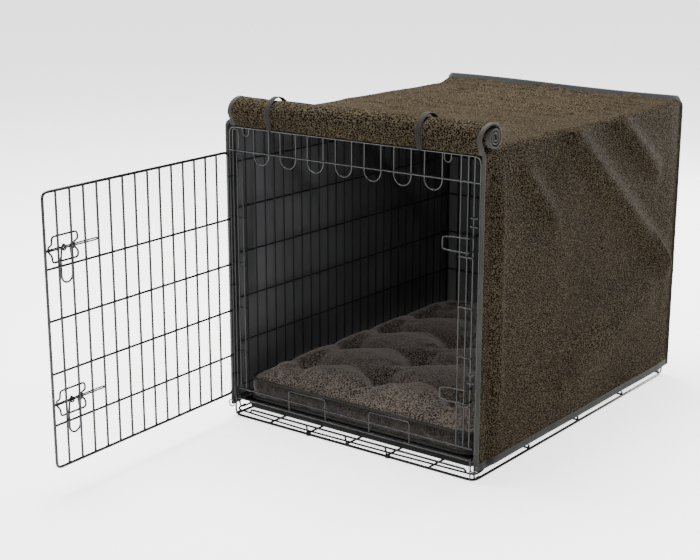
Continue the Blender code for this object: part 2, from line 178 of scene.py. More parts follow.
def wires(name, runs, material, matrix=None):
    """One object of round wires. Each run is (points, diameter) or (points, diameter, closed)."""
    curve = bpy.data.curves.new(name, "CURVE")
    curve.dimensions = "3D"
    curve.bevel_depth = 0.001
    curve.bevel_resolution = WIRE_SIDES
    curve.use_fill_caps = True
    for run in runs:
        points, diameter = run[:2]
        spline = curve.splines.new("POLY")
        spline.points.add(len(points) - 1)
        spline.use_cyclic_u = len(run) > 2
        for knot, point in zip(spline.points, points):
            at = matrix @ Vector(point) if matrix else Vector(point)
            knot.co = (*at, 1.0)
            knot.radius = diameter / 2 / curve.bevel_depth
    return link(name, curve, material)


def grid_object(name, rows, materials, closed_rows=False):
    """A quad mesh through rows of points."""
    mesh = bpy.data.meshes.new(name)
    bm = bmesh.new()
    made = [[bm.verts.new(point) for point in row] for row in rows]
    width = len(made[0])
    for lower, upper in zip(made, made[1:]):
        for i in range(width if closed_rows else width - 1):
            j = (i + 1) % width
            face = bm.faces.new((lower[i], lower[j], upper[j], upper[i]))
            face.smooth = True
    bm.to_mesh(mesh)
    bm.free()
    for material in materials:
        mesh.materials.append(material)
    return link(name, mesh)


# ---- materials

class Nodes:
    """A short way to write a material's nodes."""

    def __init__(self, name):
        self.material = bpy.data.materials.new(name)
        self.material.use_nodes = True
        self.tree = self.material.node_tree
        self.shader = self.tree.nodes["Principled BSDF"]
        self.where = self.add("ShaderNodeTexCoord").outputs["Object"]

    def add(self, kind, **settings):
        node = self.tree.nodes.new(kind)
        for key, value in settings.items():
            if key in node.inputs:
                node.inputs[key].default_value = value
            else:
                setattr(node, key, value)
        return node

    def join(self, start, end):
        self.tree.links.new(start, end)

    def feed(self, socket, value):
        """Links another node's output to a socket, or sets a number or colour on it."""
        if isinstance(value, bpy.types.NodeSocket):
            self.join(value, socket)
        elif isinstance(value, tuple):
            socket.default_value = (*value, 1.0)
        else:
            socket.default_value = value

    def noise(self, scale, detail=3.0):
        node = self.add("ShaderNodeTexNoise", Scale=scale, Detail=detail)
        self.join(self.where, node.inputs["Vector"])
        return node.outputs["Fac"]

    def ramp(self, source, stops):
        node = self.add("ShaderNodeValToRGB")
        ramp = node.color_ramp
        while len(ramp.elements) < len(stops):
            ramp.elements.new(0.5)
        for element, (position, colour) in zip(ramp.elements, stops):
            element.position = position
            element.color = (*colour, 1.0)
        self.join(source, node.inputs["Fac"])
        return node.outputs["Color"]

    def mix(self, factor, first, second, blend="MIX"):
        node = self.add("ShaderNodeMix", data_type="RGBA", blend_type=blend)
        for index, value in ((0, factor), (6, first), (7, second)):
            self.feed(node.inputs[index], value)
        return node.outputs[2]

    def maths(self, operation, *values):
        node = self.add("ShaderNodeMath", operation=operation)
        for socket, value in zip(node.inputs, values):
            self.feed(socket, value)
        return node.outputs[0]

    def bump(self, height, strength, distance):
        node = self.add("ShaderNodeBump", Strength=strength, Distance=distance)
        self.join(height, node.inputs["Height"])
        previous = self.shader.inputs["Normal"]
        if previous.is_linked:
            self.join(previous.links[0].from_socket, node.inputs["Normal"])
        self.join(node.outputs["Normal"], previous)

    def set(self, **values):
        for key, value in values.items():
            self.feed(self.shader.inputs[key.replace("_", " ")], value)


def steel_material(name, shine, rough_low):
    """Satin black electro-coat, a little uneven, worn thinner in places."""
    make = Nodes(name)
    cloudy = make.noise(35.0, 3.0)
    fine = make.noise(900.0, 2.0)
    colour = make.ramp(cloudy, ((0.30, (0.0035, 0.0035, 0.0040)), (0.75, (0.0085, 0.0085, 0.0095))))
    rough = make.maths("MULTIPLY_ADD", cloudy, 0.16, rough_low)
    make.set(Base_Color=colour, Roughness=rough, Specular_IOR_Level=shine)
    make.bump(fine, 0.08, 0.0002)
    return make.material


def plastic_material():
    """Moulded black plastic with a fine grain and faint scuffs."""
    make = Nodes("tray_plastic")
    cloudy = make.noise(9.0, 4.0)
    grain = make.noise(1400.0, 2.0)
    colour = make.ramp(cloudy, ((0.3, (0.0020, 0.0020, 0.0024)), (0.8, (0.0048, 0.0048, 0.0054))))
    rough = make.maths("MULTIPLY_ADD", cloudy, 0.22, 0.45)
    make.set(Base_Color=colour, Roughness=rough, Specular_IOR_Level=0.05)
    make.bump(grain, 0.35, 0.0003)
    return make.material


def maze_weave(make, cell, warp):
    """A fine labyrinth of light yarn on a dark ground: 1 on the light yarn, 0 on the ground."""
    shift = make.add("ShaderNodeTexNoise", Scale=warp, Detail=2.0)
    make.join(make.where, shift.inputs["Vector"])
    push = make.add("ShaderNodeVectorMath", operation="SCALE", Scale=0.9 * cell)
    make.join(shift.outputs["Color"], push.inputs[0])
    moved = make.add("ShaderNodeVectorMath", operation="ADD")
    make.join(make.where, moved.inputs[0])
    make.join(push.outputs[0], moved.inputs[1])
    cells = make.add("ShaderNodeTexVoronoi", feature="DISTANCE_TO_EDGE", Scale=1.0 / cell)
    make.join(moved.outputs[0], cells.inputs["Vector"])
    lines = make.add("ShaderNodeMapRange", interpolation_type="SMOOTHSTEP")
    make.join(cells.outputs["Distance"], lines.inputs[0])
    for socket, value in zip(lines.inputs[1:5], (0.07, 0.20, 1.0, 0.0)):
        socket.default_value = value
    breaks = make.ramp(make.noise(1.4 / cell, 1.0), ((0.36, (0.0,) * 3), (0.50, (1.0,) * 3)))
    return make.maths("MULTIPLY", lines.outputs[0], breaks)


def cover_material():
    """Brown jacquard: light maze lines on a dark ground, with a soft broad unevenness."""
    make = Nodes("cover_fabric")
    maze = maze_weave(make, 0.0034, 320.0)
    broad = make.noise(7.0, 3.0)
    ground = make.ramp(broad, ((0.3, (0.0022, 0.0016, 0.0010)), (0.8, (0.0038, 0.0028, 0.0017))))
    yarn = make.ramp(broad, ((0.3, (0.036, 0.0285, 0.0185)), (0.8, (0.049, 0.0390, 0.0255))))
    make.set(Base_Color=make.mix(maze, ground, yarn), Roughness=0.70, Specular_IOR_Level=0.003)
    make.bump(maze, 0.45, 0.0007)
    make.bump(make.noise(2200.0, 2.0), 0.3, 0.0003)
    return make.material


def mattress_material(name, shade):
    """The same maze in a short brown pile, softer and a little redder."""
    make = Nodes(name)
    maze = maze_weave(make, 0.0038, 300.0)
    broad = make.noise(6.0, 3.0)
    ground = make.ramp(broad, ((0.3, (0.0020, 0.0016, 0.0013)), (0.8, (0.0036, 0.0030, 0.0025))))
    yarn = make.ramp(broad, ((0.3, (0.036, 0.0290, 0.0235)), (0.8, (0.062, 0.0500, 0.0420))))
    # Multiplying by shade makes lit and shaded copies of the one cloth: painted light on the top, painted
    # shade on the border.
    colour = make.mix(1.0, make.mix(maze, ground, yarn), (shade,) * 3, "MULTIPLY")
    make.set(Base_Color=colour, Roughness=0.95, Specular_IOR_Level=0.04)
    make.set(Sheen_Weight=0.22, Sheen_Roughness=0.50, Sheen_Tint=(1.0, 0.90, 0.84))
    make.bump(maze, 0.45, 0.0009)
    make.bump(make.noise(1800.0, 2.0), 0.4, 0.0004)
    return make.material


def lining_material():
    """Plain charcoal lining cloth with a fine tabby weave."""
    make = Nodes("cover_lining")
    weave = make.noise(1500.0, 2.0)
    broad = make.noise(8.0, 3.0)
    colour = make.ramp(broad, ((0.3, (0.050, 0.050, 0.052)), (0.8, (0.074, 0.074, 0.076))))
    make.set(Base_Color=colour, Roughness=0.92, Specular_IOR_Level=0.08)
    make.bump(weave, 0.4, 0.0003)
    return make.material


def binding_material(name, shade):
    """Charcoal ribbed tape."""
    make = Nodes(name)
    ribs = make.add("ShaderNodeTexWave", Scale=320.0, Distortion=0.6, wave_type="BANDS")
    ribs.bands_direction = "DIAGONAL"
    make.join(make.where, ribs.inputs["Vector"])
    broad = make.noise(20.0, 3.0)
    dark, light = (tuple(shade * part for part in tone) for tone in (TAPE_DARK, TAPE_LIGHT))
    colour = make.ramp(broad, ((0.3, dark), (0.8, light)))
    make.set(Base_Color=colour, Roughness=0.85, Specular_IOR_Level=0.12, Sheen_Weight=0.02)
    make.bump(ribs.outputs["Fac"], 0.35, 0.0004)
    return make.material


STEEL = steel_material("coated_steel", 0.30, 0.14)
BRIGHT_STEEL = steel_material("coated_steel_header", 0.50, 0.10)
DULL_STEEL = steel_material("coated_steel_dull", 0.12, 0.45)
BASE_STEEL = steel_material("coated_steel_base", 0.06, 0.12)
PLASTIC = plastic_material()
COVER = cover_material()
LINING = lining_material()
BINDING = binding_material("charcoal_binding", 1.0)
# A darker copy of the charcoal binding, for the roll straps and the hem tape; on the hem tape the darkening
# is painted shade.
STRAP_TAPE = binding_material("charcoal_strap", 0.38)
# Top of the mattress: the cloth brightened 2.1 times, painted light.
BED_TOP_PAINTED_LIGHT = mattress_material("mattress_fabric", 2.10)
# Border of the mattress: the same cloth darkened, painted shade.
BED_BORDER_PAINTED_SHADE = mattress_material("mattress_border_painted_shade", 0.36)
BED_TAPE = binding_material("mattress_tape", 0.55)


# ---- studio

def make_camera():
    data = bpy.data.cameras.new("camera")
    data.lens = LENS
    data.sensor_width = 36.0
    data.clip_start = 0.05
    camera = link("camera", data)
    camera.location = CAMERA_AT
    camera.rotation_euler = (math.pi / 2 - CAMERA_PITCH, 0.0, CAMERA_YAW)
    bpy.context.scene.camera = camera


def area_light(name, at, target, size, watts):
    data = bpy.data.lights.new(name, "AREA")
    data.shape = "RECTANGLE"
    data.size, data.size_y = size
    data.energy = watts
    light = link(name, data)
    light.location = at
    light.visible_camera = False
    light.rotation_euler = (Vector(target) - Vector(at)).to_track_quat("-Z", "Y").to_euler()


def make_studio():
    world = bpy.data.worlds.new("studio")
    bpy.context.scene.world = world
    world.use_nodes = True
    sky = world.node_tree.nodes["Background"].inputs
    sky["Color"].default_value = (1.0, 1.0, 1.0, 1.0)
    sky["Strength"].default_value = SKY
    floor = Nodes("floor")
    speck = floor.ramp(floor.noise(3.0), ((0.3, (0.52, 0.52, 0.52)), (0.7, (0.55, 0.55, 0.55))))
    floor.set(Base_Color=speck, Roughness=0.8, Specular_IOR_Level=0.05)
    floor.set(Emission_Color=(1.0, 1.0, 1.0), Emission_Strength=FLOOR_GLOW)
    rows = [[(x, y, -FLOOR_DROP) for x in (-FLOOR_REACH, FLOOR_REACH)] for y in (-FLOOR_REACH, FLOOR_REACH)]
    grid_object("floor", rows, (floor.material,))
    for name, settings in LAMPS.items():
        area_light(name, *settings)


make_camera()
make_studio()


# ---- crate wires

def middle(node, axis):
    low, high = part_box(node)
    return (low[axis] + high[axis]) / 2


def crate_wires(name, runs, material, node):
    place(wires(name, runs, material), "crate", "coated_steel", node)


FRONT_Y = middle("front_header", 1)
REAR_Y = middle("rear_panel", 1)
SIDE_X = middle("side_panel_right", 0)
POST_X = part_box("front_post_right")[1][0] - FRAME_WIRE / 2
POST_FOOT, POST_TOP = (corner[2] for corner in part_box("front_post_left"))
HEADER_TOP = 0.4668
THRESHOLD_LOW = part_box("front_threshold")[0][2] + FRAME_WIRE / 2
THRESHOLD_HIGH = 0.0485
FRONT_STEP = 0.0009  # how far the doorway's level wires stand in front of its plane
SECOND_RAIL = 0.0098
# The second rail sags along its length: (share of the half width, height)
SECOND_RAIL_SAG = (
    (-1.0, 0.0096), (-0.66, 0.0072), (-0.33, 0.0060), (0.33, 0.0072), (0.66, 0.0084), (1.0, 0.0096)
)


def frame_ring(low, high, place_point, radius=0.010, size=FRAME_WIRE):
    """The closed border wire of a panel, from its two flat corners."""
    (a0, b0), (a1, b1) = low, high
    corners = [place_point(a, b) for a, b in ((a0, b0), (a1, b0), (a1, b1), (a0, b1))]
    return (rounded(corners, radius, closed=True), size, True)


def lattice_runs(across, levels, ends, place_point, sizes):
    """Uprights at `across` and level wires at `levels`, laid against each other and welded."""
    (a0, a1), (b0, b1) = ends
    upright, level = sizes
    runs = []
    for a in across:
        runs.append(([place_point(a, b0, -upright / 2), place_point(a, b1, -upright / 2)], upright))
    for b in levels:
        runs.append(([place_point(a0, b, level / 2), place_point(a1, b, level / 2)], level))
    return runs


def wall_panel(name, gaps, place_point):
    low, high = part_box(name)
    flat = 1 if name.startswith("side") else 0
    start, end = low[flat] + FRAME_WIRE / 2, high[flat] - FRAME_WIRE / 2
    bottom, top = low[2] + FRAME_WIRE / 2, high[2] - FRAME_WIRE / 2
    across = spaced(start, end, gaps)[1:-1]
    ends = ((start, end), (bottom, top))
    runs = lattice_runs(across, RAIL_HEIGHTS, ends, place_point, (GRID_WIRE, RAIL_WIRE))
    runs.append(frame_ring((start, bottom), (end, top), place_point))
    crate_wires(f"{name}_wires", runs, DULL_STEEL, name)


def make_wall_panels():
    for name, side in SIDES.items():
        wall_panel(f"side_panel_{name}", SIDE_GAPS, lambda a, b, c=0.0, s=side: (s * (SIDE_X + c), a, b))
    wall_panel("rear_panel", REAR_GAPS, lambda a, b, c=0.0: (a, REAR_Y + c, b))


def make_top_panel():
    low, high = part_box("top_panel")
    z = middle("top_panel", 2) - 0.0008
    half = high[0] - FRAME_WIRE / 2
    front, rear = low[1] + FRAME_WIRE / 2, high[1] - FRAME_WIRE / 2

    def point(a, b, c=0.0):
        return (b, a, z - c)

    across = spaced(front, rear, SIDE_GAPS)[1:-1]
    levels = spaced(-half, half, TOP_GAPS)[1:-1]
    runs = lattice_runs(across, levels, ((front, rear), (-half, half)), point, (GRID_WIRE, RAIL_WIRE))
    runs.append(frame_ring((front, -half), (rear, half), point))
    crate_wires("top_panel_wires", runs, DULL_STEEL, "top_panel")


def hanging_loop(centre, spacing, top, bottom, y):
    """A wire U that hangs from a level wire, drawn from one end to the other."""
    half = spacing / 2
    left, right = centre - half, centre + half
    points = [(left, y, top)]
    points += arc((centre, y, bottom + half), half, 180.0, 180.0, X, Z, 12)
    return points + [(right, y, top)]


def standing_loop(left, right, bottom, top, y, radius):
    corners = [(left, y, bottom), (left, y, top), (right, y, top), (right, y, bottom)]
    return rounded(corners, radius)


def post_wire(x, bottom, top, diameter=GRID_WIRE):
    return ([(x, FRONT_Y, bottom), (x, FRONT_Y, top)], diameter)


def level_wire(left, right, z, out, diameter=GRID_WIRE):
    """A level wire welded `out` in front of the front frame's plane."""
    return ([(left, FRONT_Y - out, z), (right, FRONT_Y - out, z)], diameter)


def doorway_bow(foot, top, bend):
    """The frame's border wire over or under the doorway, from one post's end to the other's."""
    corners = [(-POST_X, FRONT_Y, foot), (-POST_X, FRONT_Y, top)]
    corners += [(POST_X, FRONT_Y, top), (POST_X, FRONT_Y, foot)]
    return (rounded(corners, bend), FRAME_WIRE)


def make_header():
    """The header's level wire, its seven loops, and the tops of the strips beside the doorway."""
    runs = [doorway_bow(POST_TOP, HEADER_TOP, 0.011)]
    runs.append(level_wire(-POST_X - 0.002, POST_X + 0.001, HEADER_LOW, FRONT_STEP, GRID_WIRE * 1.1))
    loops = [(centre, LOOP_SPACING, LOOP_FOOT) for centre in LOOP_CENTRES]
    for centre, spacing, foot in (*loops, *SMALL_LOOPS):
        runs.append((hanging_loop(centre, spacing, HEADER_TOP + 0.001, foot, FRONT_Y), LOOP_WIRE))
    corner = standing_loop(LEFT_WIRE, -0.2085, POST_TOP, HEADER_TOP - 0.003, FRONT_Y, 0.005)
    runs.append((corner, GRID_WIRE))
    runs += [post_wire(x, POST_TOP, HEADER_TOP) for x in (*RIGHT_STRIP, RIGHT_WIRE)]
    crate_wires("front_header_wires", runs, BRIGHT_STEEL, "front_header")


def make_posts():
    left = [post_wire(-POST_X, POST_FOOT, POST_TOP, FRAME_WIRE)]
    left.append(post_wire(LEFT_WIRE, POST_FOOT, POST_TOP, FRAME_WIRE * 0.8))
    left.append((standing_loop(*LEFT_STRIP, POST_FOOT, 0.4275, FRONT_Y, 0.005), GRID_WIRE))
    right = [post_wire(POST_X, POST_FOOT, POST_TOP, FRAME_WIRE)]
    right += [post_wire(x, POST_FOOT, POST_TOP) for x in RIGHT_STRIP]
    right.append(post_wire(RIGHT_WIRE, POST_FOOT, POST_TOP, FRAME_WIRE * 0.85))
    for z in POST_RAILS:
        left.append(level_wire(-0.2275, -0.2005, z, -0.0022))
        right.append(level_wire(0.1938, 0.2180, z, 0.0022))
    right += [level_wire(0.2130, 0.2245, z, 0.0026) for z in CLIP_HEIGHTS]
    crate_wires("front_post_left_wires", left, STEEL, "front_post_left")
    crate_wires("front_post_right_wires", right, STEEL, "front_post_right")


def make_threshold():
    runs = [doorway_bow(POST_FOOT, THRESHOLD_LOW, 0.006)]
    runs.append(level_wire(-0.2160, 0.2230, THRESHOLD_HIGH, FRONT_STEP, GRID_WIRE * 1.1))
    for start, end in LOW_LOOPS:
        loop = standing_loop(start, end, THRESHOLD_LOW - 0.001, LOW_LOOP_TOP, FRONT_Y, 0.004)
        runs.append((loop, GRID_WIRE))
    crate_wires("front_threshold_wires", runs, STEEL, "front_threshold")


def make_floor_grid():
    """Border wire, cross wires and runners, with turned-up ends and knots along the front."""
    low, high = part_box("floor_grid")
    z = BASE_BORDER / 2
    x0, x1 = low[0] + BASE_BORDER / 2, high[0] - BASE_BORDER / 2
    y0, y1 = low[1] + BASE_BORDER / 2, high[1] - BASE_BORDER / 2
    runs = [frame_ring((x0, y0), (x1, y1), lambda a, b: (a, b, z), 0.012, BASE_BORDER)]
    above = z + BASE_BORDER / 2 + BASE_WIRE / 2 - 0.0012
    for y in spaced(y0, y1, FLOOR_ROWS)[1:-1]:
        ends = [(x0 - 0.0005, y, SECOND_RAIL), (x0 - 0.0005, y, above), (x1 + 0.0005, y, above)]
        ends.append((x1 + 0.0005, y, SECOND_RAIL))
        runs.append((rounded(ends, 0.003), BASE_WIRE))
    for x in spaced(x0, x1, FLOOR_COLUMNS)[1:-1]:
        runs.append(([(x, y0 - 0.001, above), (x, y1 + 0.001, above)], BASE_WIRE))
    for y, inward in ((y0, 1), (y1, -1)):
        path = [(x0, y + inward * 0.024, 0.0120)]
        path += [(share * x1, y + inward * 0.0036, height) for share, height in SECOND_RAIL_SAG]
        path.append((x1, y + inward * 0.024, 0.0115))
        runs.append((rounded(path, 0.010), BASE_WIRE * 0.9))
    third = (x1 - x0) / 3
    for x in (x0 + third, 0.0, x1 - third):
        stem = [(x, y0 - 0.0012, 0.0030), (x - 0.011, y0 + 0.0085, 0.0104)]
        runs.append((stem, GRID_WIRE * 1.25))
    for x in (x0 + third, x1 - third):
        runs.append((knot_coil(x, y0, z), GRID_WIRE))
    foot = BASE_BORDER
    for x in (0.0005 - x1, x1 - 0.0005):
        for y, near, top in ((y0 + 0.014, y0 + 0.001, 0.0240), (y1 - 0.014, y1 - 0.001, 0.0150)):
            runs.append((rounded([(x, y, foot), (x, near, foot), (x, near, top)], 0.005), GRID_WIRE * 1.2))
    crate_wires("floor_grid_wires", runs, BASE_STEEL, "floor_grid")


def knot_coil(x, y, z):
    """A wire end wound nearly three times round the front border wire."""
    reach = BASE_BORDER / 2 + GRID_WIRE / 2
    coil = []
    for step in range(33):
        turned = step / 12
        height = max(z + reach * math.sin(2 * math.pi * turned), GRID_WIRE / 2)
        across = x - 0.003 + GRID_WIRE * turned
        coil.append((across, y + reach * math.cos(2 * math.pi * turned), height))
    return coil


def make_tray_rests():
    for name in ("front", "rear"):
        node = f"tray_rest_{name}"
        low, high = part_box(node)
        y = middle(node, 1)
        foot, top = low[2] + GRID_WIRE / 2, high[2] - BASE_WIRE / 2
        corners = [(low[0] + 0.001, y, foot), (low[0] + 0.003, y, top)]
        corners += [(high[0] - 0.003, y, top), (high[0] - 0.001, y, foot)]
        runs = [(rounded(corners, 0.003), BASE_WIRE)]
        crate_wires(f"{node}_wire", runs, STEEL, node)


def make_floor_hooks():
    """A ring and a hook at each front corner, where the floor grid holds the front panel."""
    for name, side in SIDES.items():
        node = f"floor_hook_{name}"
        x = middle(node, 0)
        reach = FRAME_WIRE / 2 + GRID_WIRE / 2 + 0.0006
        centre = (x, FRONT_Y, THRESHOLD_LOW)
        hook = [(x, FRONT_Y - reach, 0.0046)]
        hook += arc(centre, reach, 180.0, -220.0, Y, Z, 12)
        ring = arc((x + side * 0.007, FRONT_Y - 0.006, 0.022), 0.0055, 0.0, 330.0, X, Z, 18)
        runs = [(hook, GRID_WIRE), (ring, GRID_WIRE * 0.9)]
        crate_wires(f"{node}_wire", runs, STEEL, node)


def make_strikes():
    for name, z in LATCH_HEIGHTS.items():
        node = f"latch_strike_{name}"
        low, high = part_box(node)
        bow, root = low[0] + GRID_WIRE / 2, high[0] - GRID_WIRE / 2
        y = low[1] + GRID_WIRE / 2
        corners = []
        for level in (z + STRIKE_HALF, z - STRIKE_HALF):
            leg = [(root, FRONT_Y, level), (root - 0.002, y + 0.002, level)]
            leg += [(bow + 0.016, y + 0.0005, level), (bow, y, level - 0.0015 * (1 if level > z else -1))]
            corners += leg if level > z else leg[::-1]
        runs = [(rounded(corners, 0.003), GRID_WIRE)]
        crate_wires(f"{node}_wire", runs, STEEL, node)


# ---- door and latches

DOOR_PLANE = -0.0048
DOOR_STILE = 0.0075
DOOR_WIDTH = 0.3935
BOLT_Y = -0.0118
BOLT_INSET = 0.010
BOLT_LENGTH = 0.098
KEEPER_SPAN = (0.018, 0.066)
KEEPER_BRIDGE = -0.0157


def door_matrix():
    """From the door's own axes (hinge line at the origin, door along +X) to the crate's frame."""
    along = Vector(JOINTS["upper_bolt_slide"]["axis"]).normalized()
    up = Vector(Z)
    inward = up.cross(along)
    at = Vector(JOINTS["door_hinge"]["pos_m"])
    matrix = Matrix((along, inward, up)).transposed().to_4x4()
    matrix.translation = (at.x, at.y, 0.0)
    return matrix


DOOR = door_matrix()


def make_door():
    low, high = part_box("door_panel")
    bottom, top = low[2] + DOOR_BORDER / 2, high[2] - DOOR_BORDER / 2
    last = DOOR_WIDTH - DOOR_BORDER / 2

    def point(a, b, c=0.0):
        return (a, DOOR_PLANE + c, b)

    across = spaced(DOOR_STILE, last, DOOR_GAPS)[1:-1]
    ends = ((DOOR_STILE - 0.001, last + 0.001), (bottom, top))
    runs = lattice_runs(across, DOOR_RAILS, ends, point, (DOOR_WIRE, DOOR_WIRE))
    runs.append(frame_ring((DOOR_STILE, bottom), (last, top), point, 0.009, DOOR_BORDER))
    door = wires("door_wires", runs, STEEL, DOOR)
    place(door, "door", "coated_steel", "door_panel")


def make_hinge_eyes():
    for name in ("top", "middle", "bottom"):
        node = f"hinge_eye_{name}"
        z = middle(node, 2)
        path = [(0.0115, -0.0024, z), (0.0050, -0.0024, z)]
        path += arc((0, 0, z), 0.0033, -40.0, -300.0, X, Y, 20)
        eye = wires(f"{node}_wire", [(path, EYE_WIRE)], STEEL, DOOR)
        place(eye, "door", "coated_steel", node)


def keeper_path(z):
    """A closed wire frame whose two sides step outwards to bridge over the bolt."""
    outer, inner = (DOOR_WIDTH - inset for inset in KEEPER_SPAN)
    flat = DOOR_PLANE - DOOR_WIRE - 0.0002
    up, down, step_high, step_low = 0.019, -0.017, 0.0075, 0.0035
    side = [(up, flat), (step_high, flat), (step_low, KEEPER_BRIDGE)]
    side += [(-step_low, KEEPER_BRIDGE), (-step_high, flat), (down, flat)]
    corners = [(outer, y, z + level) for level, y in side]
    corners += [(inner, y, z + level) for level, y in side[::-1]]
    return rounded(corners, 0.0055, closed=True, steps=4)


def handle_path():
    """The finger loop, drawn about the bolt's tip: two eyes on the bolt and a hanging bow."""
    reach = 0.0040
    near, far = -0.0328, -0.0488
    drop, bow = -0.051, 0.0104
    middle_x = (near + far) / 2
    eye = arc((0, 0, 0), reach, 140.0, -320.0, (0, -1, 0), (0, 0, -1), 16)[:13]
    path = [(near, -p.y, p.z) for p in eye]
    path += [(near, -reach, -0.002), (middle_x + bow, -reach, -0.020)]
    path += arc((middle_x, -reach, drop + bow), bow, 0.0, -180.0, X, Z, 14)
    path += [(middle_x - bow, -reach, -0.020), (far, -reach, -0.002)]
    return path + [(far, -p.y, p.z) for p in eye[::-1]]


def make_latches():
    for name, z in LATCH_HEIGHTS.items():
        keeper = wires(f"latch_keeper_{name}_wire", [(keeper_path(z), LATCH_WIRE, True)], STEEL, DOOR)
        place(keeper, "door", "coated_steel", f"latch_keeper_{name}")
        tip = DOOR @ Matrix.Translation((DOOR_WIDTH - BOLT_INSET, BOLT_Y, z))
        lift = 0.00112
        hairpin = arc((-0.0015, 0, 0), lift, 90.0, -180.0, X, Z, 6)
        hairpin += arc((-BOLT_LENGTH + 0.003, 0, 0), lift * 1.25, -90.0, -180.0, X, Z, 8)
        bolt = wires(f"latch_bolt_{name}_wire", [(hairpin, BOLT_WIRE, True)], STEEL, tip)
        place(bolt, f"{name}_bolt", "coated_steel", f"latch_bolt_{name}")
        handle = wires(f"latch_handle_{name}_wire", [(handle_path(), LATCH_WIRE)], STEEL, tip)
        place(handle, f"{name}_finger_loop", "coated_steel", f"latch_handle_{name}")


make_wall_panels()
make_top_panel()
make_header()
make_posts()
make_threshold()
make_floor_grid()
make_tray_rests()
make_floor_hooks()
make_strikes()
make_door()
make_hinge_eyes()
make_latches()


# ---- cloth helpers

def bake(piece):
    """Applies a piece's modifiers to its mesh."""
    graph = bpy.context.evaluated_depsgraph_get()
    graph.update()
    mesh = bpy.data.meshes.new_from_object(piece.evaluated_get(graph))
    piece.modifiers.clear()
    piece.data = mesh
    for face in mesh.polygons:
        face.use_smooth = True
    return piece


def thicken(piece, thickness, rim=0):
    """Cloth thickness inwards from the outer face, with the next material slot as its lining."""
    solid = piece.modifiers.new("cloth", "SOLIDIFY")
    solid.thickness = thickness
    solid.offset = -1.0
    solid.use_even_offset = True
    solid.material_offset = 1
    solid.material_offset_rim = rim
    return bake(piece)


def ridge(point, start, end, width):
    """1 along the line from start to end, fading to 0 beside it and beyond its ends."""
    p, a, b = Vector(point), Vector(start), Vector(end)
    along = b - a
    t = max(0.0, min(1.0, (p - a).dot(along) / along.length_squared))
    gap = (p - a - along * t).length
    return math.exp(-(gap / width) ** 2) * (0.35 + 0.65 * math.sin(math.pi * (0.15 + 0.7 * t)))


def ripple(x, y, z, size, seed):
    """Smooth noise between -1 and 1."""
    return noise.noise(Vector((x / size, y / size, z / size + seed * 7.31)))


# ---- cloth cover

CLOTH = 0.0024
COVER_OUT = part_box("cover_right")[1][0] - 0.0004
COVER_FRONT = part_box("cover_right")[0][1]
COVER_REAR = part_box("cover_rear")[1][1] - 0.0006
COVER_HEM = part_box("cover_right")[0][2]
COVER_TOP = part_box("cover_top")[1][2]
CORNER = 0.010
CLOTH_STEP = 0.0062
BACK_COLUMNS = 70
FRONT_PIPING = 0.0054
REAR_PIPING = 0.0036
FLAP_PIPING = 0.0031
FOLD_DEPTH = 2.1

# The folded tape round a hem, seen along it: (outwards, up)
HEM_TAPE = (
    (0.0009, 0.010), (0.0011, 0.004), (0.0006, -0.0008), (-0.0012, -0.0014),
    (-0.0030, -0.0008), (-0.0034, 0.004), (-0.0032, 0.010), (-0.0012, 0.0104),
)

# Folds of a side: (start, end, width, height), points (from the front edge, above the ground)
FOLDS_RIGHT = (
    ((0.107, 0.428), (0.191, 0.347), 0.015, 0.0042),
    ((0.239, 0.467), (0.592, 0.192), 0.020, 0.0066),
    ((0.385, 0.467), (0.518, 0.377), 0.018, 0.0052),
    ((0.505, 0.276), (0.590, 0.196), 0.006, 0.0034),
    ((0.507, 0.153), (0.236, 0.091), 0.030, 0.0042),
    ((0.038, 0.435), (0.046, 0.100), 0.009, 0.0026),
    ((0.019, 0.440), (0.022, 0.020), 0.008, -0.0030),
)
FOLDS_LEFT = (
    ((0.120, 0.440), (0.230, 0.330), 0.016, 0.0028),
    ((0.300, 0.460), (0.560, 0.240), 0.022, 0.0040),
    ((0.470, 0.180), (0.210, 0.120), 0.028, 0.0026),
    ((0.070, 0.400), (0.066, 0.200), 0.013, 0.0024),
    ((0.028, 0.400), (0.030, 0.140), 0.010, -0.0020),
)


def side_slack(side, y, z):
    """How far the cloth of a side stands off the wires."""
    folds = FOLDS_RIGHT if side > 0 else FOLDS_LEFT
    here = (y - COVER_FRONT, z)
    slack = 0.0036 + FOLD_DEPTH * sum(height * ridge(here, a, b, width) for a, b, width, height in folds)
    slack += 0.0011 * ripple(y, z, side, 0.075, 1) + 0.0005 * ripple(y, z, side, 0.024, 2)
    held = smoothstep(0.0, 0.022, y - COVER_FRONT) * smoothstep(0.0, 0.05, COVER_REAR - y)
    return max(0.0, slack) * (0.12 + 0.88 * held)


def rear_lip(x):
    """The rear seam stands up above the top, most at the left corner."""
    return 0.0078 * (1.0 - 0.9 * smoothstep(-0.20, 0.16, x))


def top_slack(x, y):
    weight = smoothstep(-0.20, 0.12, y) * smoothstep(0.0, 0.10, COVER_OUT - abs(x))
    crest = 1.0 - abs(ripple(x * 0.30, y + 0.15 * x, 0.0, 0.042, 3)) * 2.2
    slack = 0.0012 + 0.0055 * max(0.0, crest) ** 2 * (0.10 + 0.90 * weight)
    slack += 0.0014 * ripple(x, y, 0.0, 0.11, 4)
    slack += 0.0030 * ridge((x, y), (-0.15, -0.16), (0.02, 0.20), 0.022)
    slack += rear_lip(x) * smoothstep(0.262, 0.303, y) ** 1.5
    front = smoothstep(0.0, 0.03, y - COVER_FRONT)
    return max(0.0, slack) * (0.1 + 0.9 * front)


